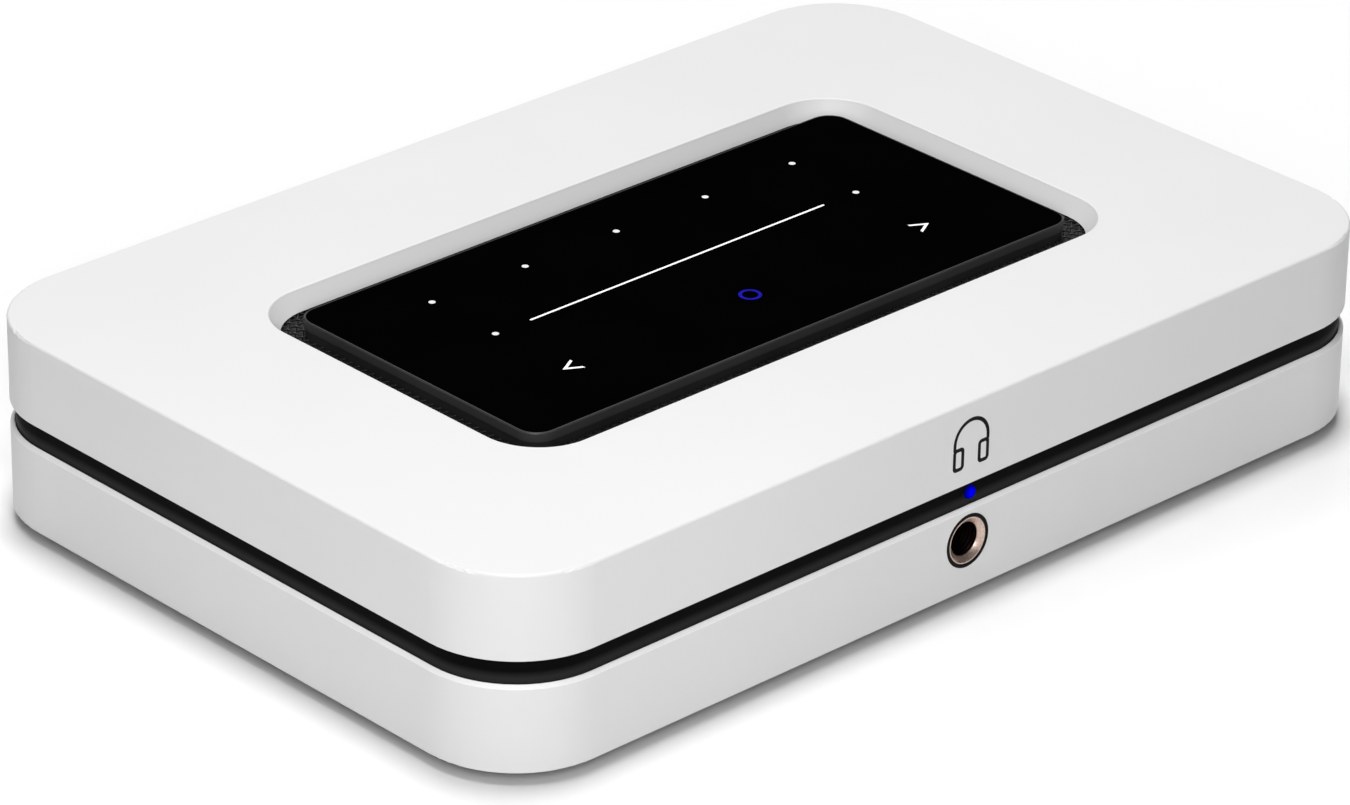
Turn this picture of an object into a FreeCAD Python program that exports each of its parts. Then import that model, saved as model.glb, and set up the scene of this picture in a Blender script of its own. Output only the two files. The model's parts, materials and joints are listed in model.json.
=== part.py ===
"""Compact network and Bluetooth audio receiver: two white shells round a black frame, a touch panel in a
recess of the top cover, a headphone socket in front and a connector bay at the back.

Row frame, millimetres: origin on the ground under the middle of the casing, +X to the right as seen from
the front, +Y to the back, +Z up. Every physical piece is one node, written as parts/NODE.step.
"""

import FreeCAD, Part
import math
import os

from FreeCAD import Vector

# ---------------------------------------------------------------- driving dimensions
WIDTH, DEPTH, HEIGHT = 220.0, 146.0, 40.8
CORNER = 19.5                      # plan radius of the casing's corners
WALL = 2.5
FOOT_HEIGHT = 3.0
BASE_PLATE_LOW = 3.4
LEDGE = 7.0                        # how far the lower shell's ledge reaches in over the base plate
GROOVE_LOW, GROOVE_HIGH = 19.75, 24.5   # the black groove between the shells
GROOVE_DEPTH = 1.0
RIM_THICK, RIM_DEEP, RIM_BEVEL = 0.8, 1.0, 0.6     # thin upper rim of the lower shell, bevelled outside
TOP_ROUND, EDGE_ROUND, FOOT_ROUND = 0.5, 0.1, 0.25  # edge radii: cover's top, cover's lower edge, shell's foot
PLATE = 2.5                        # thickness of the top cover's flat plate
CLEAR = 0.1                        # general assembly clearance
FINE = 0.05                        # clearance of parts that fit closely

RECESS = (147.2, 78.0, 12.0)       # recess mouth: width, depth, corner radius
RECESS_FLOOR = (143.8, 74.6, 11.0)
RECESS_DEEP = 3.75
RECESS_ROUND = 0.35                # radius round the recess mouth
PANEL = (134.4, 64.4, 4.5)         # touch panel outline
PANEL_TOP = HEIGHT - 0.6
BEZEL_HIGH = 1.75
BEZEL_LIP, BEZEL_EDGE = 0.4, 0.2   # width of the bezel's top face and its chamfer
GLASS_THICK = 1.2
MESH_THICK = 0.8
FLANGE = (153.0, 84.0, 14.0)       # clamped edge of the mesh and of the panel base

SYMBOL_DEEP = 0.6                  # how far the lit symbols are let into the glass
DOT_RADIUS = 0.65
DOT_PITCH = 22.5
PRESET_ROW, VOLUME_ROW, PLAY_ROW = 19.9, 2.8, -15.7    # Y of the three rows of symbols
BAR_HALF, BAR_WIDE = 36.7, 0.5
ARROW_X, ARROW_REACH, ARROW_HALF, STROKE = 43.9, 1.8, 2.0, 0.55
RING_OUT, RING_IN = 2.15, 1.5

BOSS_X, BOSS_Y, BOSS_R = 99.0, 62.0, 3.6      # case screws
FOOT_X, FOOT_Y, FOOT_R = 86.0, 49.0, 8.0
BAY_X, BAY_LOW, BAY_HIGH = 92.0, 8.0, 35.8    # outside of the rear connector bay
BAY_WALL = 1.8
BACKPLATE = (61.0, 63.0)                      # Y of the connector plate's two faces
PORT_FACE = BACKPLATE[1] + 0.3                # Y of the sockets' open ends
BOARD_LOW, BOARD_THICK = 9.0, 1.6
BOARD_TOP = BOARD_LOW + BOARD_THICK

FRONT_X = -1.0                                # common X of the front socket and mark
JACK_Z = 13.1                                 # headphone socket axis
JACK_BORE = 3.25
COLLAR_R, BUSHING_R, BUSHING_LIP = 5.2, 4.65, 0.25
FUNNEL_DEEP = 0.75
FRONT_BOARD_TOP = 7.2
LED_X, LED_Z, LED_R, LED_PROUD = 0.0, 22.1, 1.3, 0.6   # status light: axis, radius, how far its dome stands out
LED_SCREWS, LED_BOARD_Z = (LED_X - 9.5, LED_X + 9.5), 24.0
MARK_LOW, MARK_HIGH, MARK_REACH, MARK_LINE, MARK_DEEP = 27.8, 37.5, 4.5, 0.75, 0.3
PORT_Z = 17.0                                 # axis height of the round rear sockets

RCA_X = {"coax": -30.0, "sub": -57.0, "left": -70.0, "right": -83.0}
RCA_R, RCA_WALL, RCA_LONG, RCA_PIN_R = 4.15, 0.45, 9.0, 1.7
OPTICAL_X = -43.5
MINI_X = {"combo": -17.0, "infrared": -6.0, "trigger": 5.0}
MINI_BORE, MINI_DEEP = 1.8, 14.0
USB_X, LAN_X, HDMI_X, INLET_X = 18.5, 35.0, 51.0, 80.0

HARNESS_X = (56.0, 68.0)                      # plugs of the board-to-board harness

FLAP_PIVOT_Y, FLAP_PIVOT_Z = 62.1, 20.1
FLAP_LONG, FLAP_THICK, FLAP_HALF = 7.9, 0.8, 4.0
TRUNNION_R, TRUNNION_HOLE = 0.6, 0.66
RIBBON_THICK = 0.3

FLOOR_TOP = FOOT_HEIGHT + WALL
CEILING = HEIGHT - PLATE
RECESS_Z = HEIGHT - RECESS_DEEP               # level of the recess floor
MESH_LOW = RECESS_Z - MESH_THICK
BASE_LOW = MESH_LOW - 1.2
BEZEL_LOW = PANEL_TOP - BEZEL_HIGH
GLASS_LOW = PANEL_TOP - 0.05 - GLASS_THICK

NODES = {}


# ---------------------------------------------------------------- helpers
def add(name, *solids):
    """Registers a node made of one or more separate solids."""
    NODES[name] = solids[0] if len(solids) == 1 else Part.makeCompound(list(solids))


def box(x0, x1, y0, y1, z0, z1):
    return Part.makeBox(x1 - x0, y1 - y0, z1 - z0, Vector(x0, y0, z0))


def rounded_wire(width, depth, radius, z, cx=0.0, cy=0.0):
    """Closed wire of a rectangle with round corners, flat at height z."""
    hx, hy = width / 2 - radius, depth / 2 - radius
    centres = [(hx, hy, 0), (-hx, hy, 90), (-hx, -hy, 180), (hx, -hy, 270)]

    def at(x, y, angle):
        a = math.radians(angle)
        return Vector(cx + x + radius * math.cos(a), cy + y + radius * math.sin(a), z)

    edges = []
    for k, (x, y, angle) in enumerate(centres):
        nx, ny, _ = centres[(k + 1) % 4]
        arc = Part.Arc(at(x, y, angle), at(x, y, angle + 45), at(x, y, angle + 90))
        edges.append(arc.toShape())
        edges.append(Part.LineSegment(at(x, y, angle + 90), at(nx, ny, angle + 90)).toShape())
    return Part.Wire(edges)


def slab(width, depth, radius, z0, z1, cx=0.0, cy=0.0):
    """Upright prism over a rectangle with round corners."""
    face = Part.Face(rounded_wire(width, depth, radius, z0, cx, cy))
    return face.extrude(Vector(0, 0, z1 - z0))


def inset_slab(inset, z0, z1):
    """Prism over the casing's outline, moved inwards by inset."""
    return slab(WIDTH - 2 * inset, DEPTH - 2 * inset, CORNER - inset, z0, z1)


def window(x0, x1, z0, z1, radius, y0, y1):
    """Prism along Y over a rectangle with round corners in the XZ plane."""
    flat = slab(x1 - x0, z1 - z0, radius, 0, y1 - y0)
    flat.rotate(Vector(0, 0, 0), Vector(1, 0, 0), 90)
    flat.translate(Vector((x0 + x1) / 2, y1, (z0 + z1) / 2))
    return flat


def post(x, y, radius, z0, z1):
    return Part.makeCylinder(radius, z1 - z0, Vector(x, y, z0))


def rod_y(x, z, radius, y0, y1):
    return Part.makeCylinder(radius, y1 - y0, Vector(x, y0, z), Vector(0, 1, 0))


def rod_x(y, z, radius, x0, x1):
    return Part.makeCylinder(radius, x1 - x0, Vector(x0, y, z), Vector(1, 0, 0))


def cone_y(x, z, r0, r1, y0, y1):
    return Part.makeCone(r0, r1, y1 - y0, Vector(x, y0, z), Vector(0, 1, 0))


def socket_rod(radius, y0, y1):
    """Cylinder on the headphone socket's axis, from y0 to y1 behind the casing's front face."""
    return rod_y(FRONT_X, JACK_Z, radius, y0 - DEPTH / 2, y1 - DEPTH / 2)


def fused(first, *others):
    return first.fuse(list(others)).removeSplitter()


def corners(x, y):
    return [(sx * x, sy * y) for sx in (-1, 1) for sy in (-1, 1)]


def rim_edges(shape, z, near=0.01):
    """The edges that lie flat at height z."""
    return [e for e in shape.Edges if abs(e.BoundBox.ZMin - z) < near and abs(e.BoundBox.ZMax - z) < near]


def screw(x, y, head_r, head_z, shank_r, z0, z1, drive):
    """Upright pan screw with a hexagon socket, its head below head_z and its shank up to z1."""
    head = post(x, y, head_r, head_z, z0)
    shank = post(x, y, shank_r, z0, z1)
    angles = [math.radians(60 * k) for k in range(6)]
    ring = [Vector(x + drive * math.cos(a), y + drive * math.sin(a), head_z) for a in angles]
    socket = Part.Face(Part.makePolygon(ring + ring[:1])).extrude(Vector(0, 0, (z0 - head_z) * 0.6))
    return fused(head, shank).cut(socket)


def tube_path(points, radius):
    """Round cable through points: straight runs joined by tangent arcs as large as the runs allow."""
    points = [Vector(*p) for p in points]
    edges, start = [], points[0]
    for a, b, c in zip(points, points[1:], points[2:]):
        back, ahead = (a - b).normalize(), (c - b).normalize()
        half_turn = (math.pi - back.getAngle(ahead)) / 2
        reach = 0.45 * min((b - a).Length, (c - b).Length)
        bend = reach / math.tan(half_turn)
        first, last = b + back * reach, b + ahead * reach
        inner = (back + ahead).normalize()
        middle = b + inner * (bend / math.cos(half_turn) - bend)
        edges.append(Part.LineSegment(start, first).toShape())
        edges.append(Part.Arc(first, middle, last).toShape())
        start = last
    edges.append(Part.LineSegment(start, points[-1]).toShape())
    path = Part.Wire(edges)
    profile = Part.Wire([Part.makeCircle(radius, points[0], points[1] - points[0])])
    return path.makePipeShell([profile], True, False)


# ---------------------------------------------------------------- casing
def rear_gap(z0, z1):
    """The cut that a shell or the frame leaves for the connector bay."""
    reach = BAY_X + 2 * CLEAR
    return window(-reach, reach, z0, z1, 3.2, DEPTH / 2 - WALL - 3, DEPTH / 2 + 1)


def headphone_mark_shape(y0, y1):
    """Outline pictogram of headphones, as a prism along Y."""
    band_z = MARK_HIGH - MARK_REACH
    band = rod_y(0, band_z, MARK_REACH, y0, y1).cut(rod_y(0, band_z, MARK_REACH - MARK_LINE, y0, y1))
    band = band.cut(box(-MARK_REACH, MARK_REACH, y0, y1, MARK_LOW, band_z))
    solids = [band]
    cup_wide, cup_top = 2.8, band_z - 0.6
    for side in (-1, 1):
        arm = sorted((side * (MARK_REACH - MARK_LINE), side * MARK_REACH))
        solids.append(box(*arm, y0, y1, band_z - 1.0, band_z))
        pad = sorted((side * (MARK_REACH - cup_wide), side * MARK_REACH))
        cup = window(*pad, MARK_LOW, cup_top, 0.9, y0, y1)
        inner = (pad[0] + MARK_LINE, pad[1] - MARK_LINE, MARK_LOW + MARK_LINE, cup_top - MARK_LINE)
        hollow = window(*inner, 0.3, y0, y1)
        solids.append(cup.cut(hollow))
    return fused(*solids).translate(Vector(FRONT_X, 0, 0))


def make_top_cover():
    outer = inset_slab(0, GROOVE_HIGH, HEIGHT)
    outer = outer.makeFillet(TOP_ROUND, rim_edges(outer, HEIGHT))
    outer = outer.makeFillet(EDGE_ROUND, rim_edges(outer, GROOVE_HIGH))
    shell = outer.cut(inset_slab(WALL, GROOVE_HIGH - 1, CEILING))
    bosses = [post(x, y, BOSS_R, GROOVE_HIGH + 3.7, CEILING + 0.1) for x, y in corners(BOSS_X, BOSS_Y)]
    ribs = [box(-0.8, 0.8, y0, y1, 33.0, CEILING + 0.1).translate(Vector(x, 0, 0))
            for x in (-55.0, 0.0, 55.0) for y0, y1 in ((-71.0, -42.8), (42.8, 60.0))]
    rim = slab(FLANGE[0] + 2, FLANGE[1] + 2, FLANGE[2] + 1, RECESS_Z, CEILING + 0.1)
    shell = fused(shell, rim, *bosses, *ribs)
    # the mouth's taper is carried a little past both faces
    over, slope = 0.5, (RECESS[0] - RECESS_FLOOR[0]) / 2 / RECESS_DEEP
    grow = 2 * slope * over
    lofted = Part.makeLoft([
        rounded_wire(RECESS_FLOOR[0] - grow, RECESS_FLOOR[1] - grow, RECESS_FLOOR[2], RECESS_Z - over),
        rounded_wire(RECESS[0] + grow, RECESS[1] + grow, RECESS[2], HEIGHT + over)], True, True)
    shell = shell.cut(lofted)
    half = (RECESS[0] / 2 + 0.5, RECESS[1] / 2 + 0.5)
    mouth = [edge for edge in rim_edges(shell, HEIGHT)
             if abs(edge.CenterOfMass.x) < half[0] and abs(edge.CenterOfMass.y) < half[1]]
    shell = shell.makeFillet(RECESS_ROUND, mouth)
    for x, y in corners(BOSS_X, BOSS_Y):
        shell = shell.cut(post(x, y, 1.55, GROOVE_HIGH, CEILING - 0.8))
    for x, y in panel_screw_places():
        shell = shell.cut(post(x, y, 0.95, RECESS_Z - 1, RECESS_Z + 1.9))
    shell = shell.cut(rear_gap(GROOVE_LOW, BAY_HIGH + 0.2))
    shell = shell.cut(headphone_mark_shape(-DEPTH / 2 - 1, -DEPTH / 2 + MARK_DEEP))
    add("top_cover", shell)
    add("front_mark", headphone_mark_shape(-DEPTH / 2, -DEPTH / 2 + MARK_DEEP))


def make_bottom_shell():
    outer = inset_slab(0, FOOT_HEIGHT, GROOVE_LOW)
    outer = outer.makeFillet(FOOT_ROUND, rim_edges(outer, FOOT_HEIGHT))
    outer = outer.makeChamfer(RIM_BEVEL, rim_edges(outer, GROOVE_LOW))
    shell = outer.cut(inset_slab(WALL, FOOT_HEIGHT - 1, GROOVE_LOW + 1))
    shell = shell.cut(inset_slab(RIM_THICK, GROOVE_LOW - RIM_DEEP, GROOVE_LOW + 1))
    ledge = inset_slab(WALL - 0.1, FLOOR_TOP, FLOOR_TOP + 1.2)
    shell = fused(shell, ledge.cut(inset_slab(LEDGE, FLOOR_TOP - 1, FLOOR_TOP + 2)))
    for x, y in corners(BOSS_X, BOSS_Y):
        shell = shell.cut(post(x, y, BOSS_R + CLEAR, FLOOR_TOP - 1, FLOOR_TOP + 2))
    shell = shell.cut(rear_gap(BAY_LOW - 0.2, GROOVE_HIGH))
    add("bottom_shell", shell.cut(socket_rod(COLLAR_R + FINE, -1, WALL + 1)))


def make_base_plate():
    plate = inset_slab(WALL + CLEAR, BASE_PLATE_LOW, FLOOR_TOP)
    bosses = [post(x, y, BOSS_R, FLOOR_TOP - 0.1, 15.9) for x, y in corners(BOSS_X, BOSS_Y)]
    stands = [post(x, y, 3.0, FLOOR_TOP - 0.1, BOARD_LOW) for x, y in board_screw_places()]
    low_stands = [post(x, y, 2.6, FLOOR_TOP - 0.1, 5.9) for x, y in front_board_places()]
    plate = fused(plate, *bosses, *stands, *low_stands)
    low = BASE_PLATE_LOW - 1
    cuts = []
    for x, y in corners(BOSS_X, BOSS_Y):
        cuts += [post(x, y, 1.7, low, 17), post(x, y, 3.2, low, FOOT_HEIGHT + 2.2)]
    cuts += [post(x, y, 1.05, FLOOR_TOP, BOARD_LOW + 1) for x, y in board_screw_places()]
    cuts += [post(x, y, 0.85, FOOT_HEIGHT + 1, 7) for x, y in front_board_places()]
    cuts += [post(x, y, FOOT_R + CLEAR, low, BASE_PLATE_LOW + 0.6) for x, y in corners(FOOT_X, FOOT_Y)]
    cuts += [slab(2.4, 30.0, 1.1, low, FLOOR_TOP + 1, -50.0 + 10.0 * k, -6.0) for k in range(11)]
    for piece in cuts:
        plate = plate.cut(piece)
    add("base_plate", plate)


def make_mid_frame():
    rib = inset_slab(GROOVE_DEPTH, GROOVE_LOW - RIM_DEEP, GROOVE_HIGH)
    web = inset_slab(WALL + CLEAR, 16.0, GROOVE_HIGH + 3.6)
    ring = fused(rib, web).cut(inset_slab(WALL + CLEAR + 1.8, 15, 30))
    lugs = [post(x, y, BOSS_R, 16.0, GROOVE_HIGH + 3.6) for x, y in corners(BOSS_X, BOSS_Y)]
    front = -DEPTH / 2 + WALL + CLEAR + 1.8
    bosses = [rod_y(x, LED_BOARD_Z, 2.0, front - 0.1, front + 3.9) for x in LED_SCREWS]
    ring = fused(ring, *lugs, *bosses)
    for x, y in corners(BOSS_X, BOSS_Y):
        ring = ring.cut(post(x, y, 1.7, 15, 30))
    ring = ring.cut(rear_gap(12, 32)).cut(rod_y(LED_X, LED_Z, LED_R + FINE, -DEPTH / 2, front + 1))
    ring = ring.cut(socket_rod(COLLAR_R + 0.4, 0, WALL + 3))
    add("mid_frame", ring)


def make_feet_and_case_screws():
    feet = []
    for x, y in corners(FOOT_X, FOOT_Y):
        foot = post(x, y, FOOT_R, 0.0, BASE_PLATE_LOW + 0.6)
        foot = foot.makeFillet(0.8, rim_edges(foot, 0.0))
        feet.append(foot)
    add("rubber_feet", *feet)
    add("case_screws", *[screw(x, y, 2.9, FOOT_HEIGHT + 0.2, 1.5, FOOT_HEIGHT + 2.2, 36.0, 1.4)
                         for x, y in corners(BOSS_X, BOSS_Y)])


# ---------------------------------------------------------------- touch panel
def panel_screw_places():
    long_side = [(x, sy * 39.7) for x in (-42.0, 42.0) for sy in (-1, 1)]
    return long_side + corners(74.4, 20.0)


def chevron(x, y, direction, z0, z1):
    """Arrowhead of two strokes, pointing to +X or -X."""
    reach, half = ARROW_REACH, ARROW_HALF
    slant = math.hypot(2 * reach, half)
    notch, tail = STROKE * slant / half, STROKE * slant / (2 * reach)
    outline = [(reach, 0), (-reach, half), (-reach, half - tail), (reach - notch, 0),
               (-reach, tail - half), (-reach, -half)]
    ring = [Vector(x + direction * px, y + py, z0) for px, py in outline]
    return Part.Face(Part.makePolygon(ring + ring[:1])).extrude(Vector(0, 0, z1 - z0))


def symbols(z0, z1):
    """Every lit symbol of the glass as a dictionary of node name to its solids."""
    dots = [post(k * DOT_PITCH, PRESET_ROW, DOT_RADIUS, z0, z1) for k in (-2, -1, 0, 1, 2)]
    ring = post(0, PLAY_ROW, RING_OUT, z0, z1).cut(post(0, PLAY_ROW, RING_IN, z0, z1))
    return {
        "preset_lights": dots,
        "volume_step_lights": [post(sx * 2 * DOT_PITCH, VOLUME_ROW, DOT_RADIUS, z0, z1) for sx in (-1, 1)],
        "volume_bar_light": [slab(2 * BAR_HALF, BAR_WIDE, 0.45 * BAR_WIDE, z0, z1, 0, VOLUME_ROW)],
        "skip_arrow_lights": [chevron(sx * ARROW_X, PLAY_ROW, sx, z0, z1) for sx in (-1, 1)],
        "play_ring_light": [ring],
    }


def make_touch_panel():
    lip = 2 * BEZEL_LIP
    bezel = slab(*PANEL, BEZEL_LOW, PANEL_TOP)
    bezel = bezel.makeChamfer(BEZEL_EDGE, rim_edges(bezel, PANEL_TOP))
    pocket = slab(PANEL[0] - lip, PANEL[1] - lip, PANEL[2] - BEZEL_LIP, GLASS_LOW - 0.02, PANEL_TOP + 1)
    through = slab(PANEL[0] - 9, PANEL[1] - 9, 3.0, BEZEL_LOW - 1, PANEL_TOP)
    add("panel_bezel", bezel.cut(pocket).cut(through))

    edge = lip + 2 * 0.06
    glass = slab(PANEL[0] - edge, PANEL[1] - edge, PANEL[2] - edge / 2, GLASS_LOW, GLASS_LOW + GLASS_THICK)
    top = GLASS_LOW + GLASS_THICK
    for name, solids in symbols(top - SYMBOL_DEEP, top).items():
        for solid in solids:
            glass = glass.cut(solid)
        add(name, *solids)
    add("touch_glass", glass)

    mask = slab(PANEL[0] - 11.5, PANEL[1] - 11.5, 2.5, MESH_LOW + 1.2, GLASS_LOW - 0.05)
    leds = []
    for x, y in led_places():
        mask = mask.cut(post(x, y, 1.6, BEZEL_LOW - 2, GLASS_LOW + 1))
        leds.append(box(x - 0.8, x + 0.8, y - 0.5, y + 0.5, MESH_LOW + 1.2, MESH_LOW + 1.8))
    add("light_mask", mask)
    add("touch_leds", *leds)

    board = slab(PANEL[0] - 5.2, PANEL[1] - 5.2, 3.0, MESH_LOW, MESH_LOW + 1.2)
    add("touch_board", board)

    base = slab(*FLANGE, BASE_LOW, MESH_LOW)
    platform = slab(PANEL[0] - 0.6, PANEL[1] - 0.6, PANEL[2] - 0.3, BASE_LOW, BEZEL_LOW)
    base = fused(base, platform)
    base = base.cut(slab(PANEL[0] - 4.6, PANEL[1] - 4.6, 3.3, MESH_LOW, BEZEL_LOW + 1))
    base = base.cut(slab(PANEL[0] - 9.5, PANEL[1] - 9.5, 2.0, BASE_LOW - 1, BEZEL_LOW))
    for sx in (-1, 1):
        base = base.cut(slab(3.6, 26.0, 1.6, BASE_LOW - 1, MESH_LOW, sx * 69.4, 0))
        for x in (-48.0, -16.0, 16.0, 48.0):
            base = base.cut(slab(26.0, 3.6, 1.6, BASE_LOW - 1, MESH_LOW, x, sx * 34.4))
    mesh = slab(*FLANGE, MESH_LOW, RECESS_Z)
    mesh = mesh.cut(slab(PANEL[0] - 0.4, PANEL[1] - 0.4, PANEL[2] - 0.2, MESH_LOW - 1, RECESS_Z + 1))
    for x, y in panel_screw_places():
        base = base.cut(post(x, y, 1.1, BASE_LOW - 1, RECESS_Z))
        mesh = mesh.cut(post(x, y, 1.1, BASE_LOW - 1, RECESS_Z + 1))
    add("panel_base", base)
    add("vent_mesh", mesh)
    add("panel_screws", *[screw(x, y, 1.7, BASE_LOW - 1.2, 0.9, BASE_LOW, RECESS_Z + 1.6, 0.8)
                          for x, y in panel_screw_places()])


def led_places():
    """Where the touch board's light-emitting diodes stand, one or more under each symbol."""
    spots = [(k * DOT_PITCH, PRESET_ROW) for k in (-2, -1, 0, 1, 2)]
    spots += [(sx * 2 * DOT_PITCH, VOLUME_ROW) for sx in (-1, 1)]
    spots += [(x, VOLUME_ROW) for x in (-30.0, -18.0, -6.0, 6.0, 18.0, 30.0)]
    return spots + [(-ARROW_X, PLAY_ROW), (0.0, PLAY_ROW), (ARROW_X, PLAY_ROW)]


# ---------------------------------------------------------------- front sockets and light
def make_headphone_socket():
    add("headphone_collar", socket_rod(COLLAR_R, 0, 5).cut(socket_rod(BUSHING_R + FINE, -1, 6)))
    barrel = fused(socket_rod(BUSHING_R, FINE, 6.0), socket_rod(BUSHING_R - 0.25, 6.0, 7.5))
    face = FINE - DEPTH / 2
    funnel = cone_y(FRONT_X, JACK_Z, BUSHING_R - BUSHING_LIP, JACK_BORE, face, face + FUNNEL_DEEP)
    add("headphone_bushing", barrel.cut(funnel).cut(socket_rod(JACK_BORE, 0, 9)))
    front = -DEPTH / 2
    body = box(FRONT_X - 6.5, FRONT_X + 6.5, front + 6.0, front + 31.0, FRONT_BOARD_TOP, 19.6)
    body = body.cut(socket_rod(BUSHING_R - 0.15, 5, 7.6)).cut(socket_rod(JACK_BORE, 0, 30))
    add("headphone_jack_body", body)
    board = slab(70.0, 24.0, 1.5, FRONT_BOARD_TOP - 1.25, FRONT_BOARD_TOP - FINE, 0, -54.0)
    for x, y in front_board_places():
        board = board.cut(post(x, y, 1.1, 5, 8))
    add("front_board", board)


def front_board_places():
    return [(-31.0, -54.0), (31.0, -54.0)]


def make_status_light():
    wall = -DEPTH / 2 + GROOVE_DEPTH
    lens = rod_y(LED_X, LED_Z, LED_R, wall - LED_PROUD, -66.6)
    tip = [edge for edge in lens.Edges if edge.BoundBox.YMax < wall]
    add("led_lens", lens.makeFillet(LED_PROUD, tip))
    add("status_led", box(LED_X - 1.5, LED_X + 1.5, -66.5, -64.7, LED_Z - 1.0, LED_Z + 1.0))
    board = box(LED_X - 12.0, LED_X + 12.0, -64.7, -63.5, 20.2, 27.2)
    for x in LED_SCREWS:
        board = board.cut(rod_y(x, LED_BOARD_Z, 0.9, -66, -62))
    add("led_board", board)


# ---------------------------------------------------------------- circuit boards
def board_screw_places():
    main_board = [(-96.0, 20.0), (-96.0, -34.0), (-30.0, -34.0), (45.0, -34.0), (45.0, 8.0)]
    return main_board + [(99.0, 36.0), (99.0, -36.0), (66.0, -40.0)]


def holed(board):
    for x, y in board_screw_places():
        board = board.cut(post(x, y, 1.3, BOARD_LOW - 1, BOARD_TOP + 1))
    return board


def make_boards():
    add("main_board", holed(box(-102.0, 60.0, -38.0, BACKPLATE[0] - 0.3, BOARD_LOW, BOARD_TOP)
                            .cut(box(-103, -93.5, 50, 62, 8, 12))))
    add("power_board", holed(box(62.5, 104.0, -44.0, BACKPLATE[0] - 0.3, BOARD_LOW, BOARD_TOP)
                             .cut(box(93.5, 105, 50, 62, 8, 12))))
    add("board_screws", *[screw_down(x, y) for x, y in board_screw_places()])
    make_processor()
    make_small_parts()
    make_power_parts()


def screw_down(x, y):
    """Cheese-head screw that holds a board down on its post."""
    head = post(x, y, 2.2, BOARD_TOP, BOARD_TOP + 1.6).cut(
        box(x - 2.5, x + 2.5, y - 0.3, y + 0.3, BOARD_TOP + 1.0, BOARD_TOP + 2))
    return fused(head, post(x, y, 1.0, FLOOR_TOP + 0.8, BOARD_TOP))


def make_processor():
    x, y, half, z = -8.0, 0.0, 20.0, BOARD_TOP
    module = box(x - half, x + half, y - 16, y + 16, z + 2.0, z + 3.2)
    connector = box(x - 16, x + 16, y - 15, y - 12, z, z + 2.0)
    add("processor_module", fused(module, connector))
    sink = box(x - 14, x + 14, y - 12, y + 12, z + 3.2, z + 5.5)
    fins = [box(x - 14 + 3.0 * k, x - 12.8 + 3.0 * k, y - 12, y + 12, z + 5.4, z + 13.0) for k in range(10)]
    add("processor_heatsink", fused(sink, *fins))
    shield = box(-58.0, -36.0, -20.0, 6.0, z, z + 2.6)
    add("radio_shield", shield.makeFillet(0.5, rim_edges(shield, z + 2.6)))


def make_small_parts():
    z = BOARD_TOP
    cans = []
    for x in (-88.0, -77.0, -66.0, -55.0):
        for y in (22.0, 34.0):
            can = post(x, y, 4.0, z, z + 11.5)
            cans.append(can.makeFillet(0.5, rim_edges(can, z + 11.5)))
    add("audio_capacitors", *cans)
    chips = [(-84, 4, 9, 9), (-70, 4, 6, 5), (-84, -12, 7, 7), (-70, -12, 5, 6), (26, 30, 9, 9)]
    chips += [(26, 14, 7, 7), (30, -14, 12, 12), (16, 38, 6, 6), (-22, 34, 7, 5), (-10, -26, 5, 5)]
    add("board_chips", *[box(x - w / 2, x + w / 2, y - d / 2, y + d / 2, z, z + 1.2) for x, y, w, d in chips])


def make_power_parts():
    z = BOARD_TOP
    core = box(71.0, 96.0, -8.0, 12.0, z, z + 14.5)
    winding = box(74.0, 93.0, -11.0, 15.0, z + 2.0, z + 12.5)
    add("power_transformer", fused(core, winding))
    bulk = rod_x(-24.0, z + 6.5, 6.5, 69.0, 93.0)
    tip = [edge for edge in bulk.Edges if edge.BoundBox.XMin > 92.9]
    add("power_capacitor", bulk.makeFillet(0.6, tip))
    add("mains_filter", fused(box(75.0, 93.0, 21.0, 34.0, z, z + 2.0), rod_x(27.5, z + 6.5, 5.0, 77.0, 91.0)))


# ---------------------------------------------------------------- rear sockets
def make_rear_panel():
    low, high = BAY_LOW, BAY_HIGH
    tub = window(-BAY_X, BAY_X, low, high, 3.0, BACKPLATE[0], DEPTH / 2 - 0.4)
    reach = BAY_X - BAY_WALL
    tub = tub.cut(window(-reach, reach, low + BAY_WALL, high - BAY_WALL, 1.6, BACKPLATE[1], DEPTH / 2 + 1))
    y0, y1 = BACKPLATE[0] - 1, BACKPLATE[1] + 1
    for x in RCA_X.values():
        tub = tub.cut(rod_y(x, PORT_Z, RCA_R + 0.2, y0, y1))
    for x in MINI_X.values():
        tub = tub.cut(rod_y(x, PORT_Z, 3.1, y0, y1))
    square_holes = [(OPTICAL_X, 5.15, 22.1), (USB_X, 6.7, 16.5), (LAN_X, 8.15, 24.2)]
    square_holes += [(HDMI_X, 7.65, 16.3), (INLET_X, 9.9, 23.7)]
    for x, half, top in square_holes:
        tub = tub.cut(box(x - half, x + half, y0, y1, BOARD_TOP - 0.1, top))
    add("rear_panel", tub)


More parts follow.
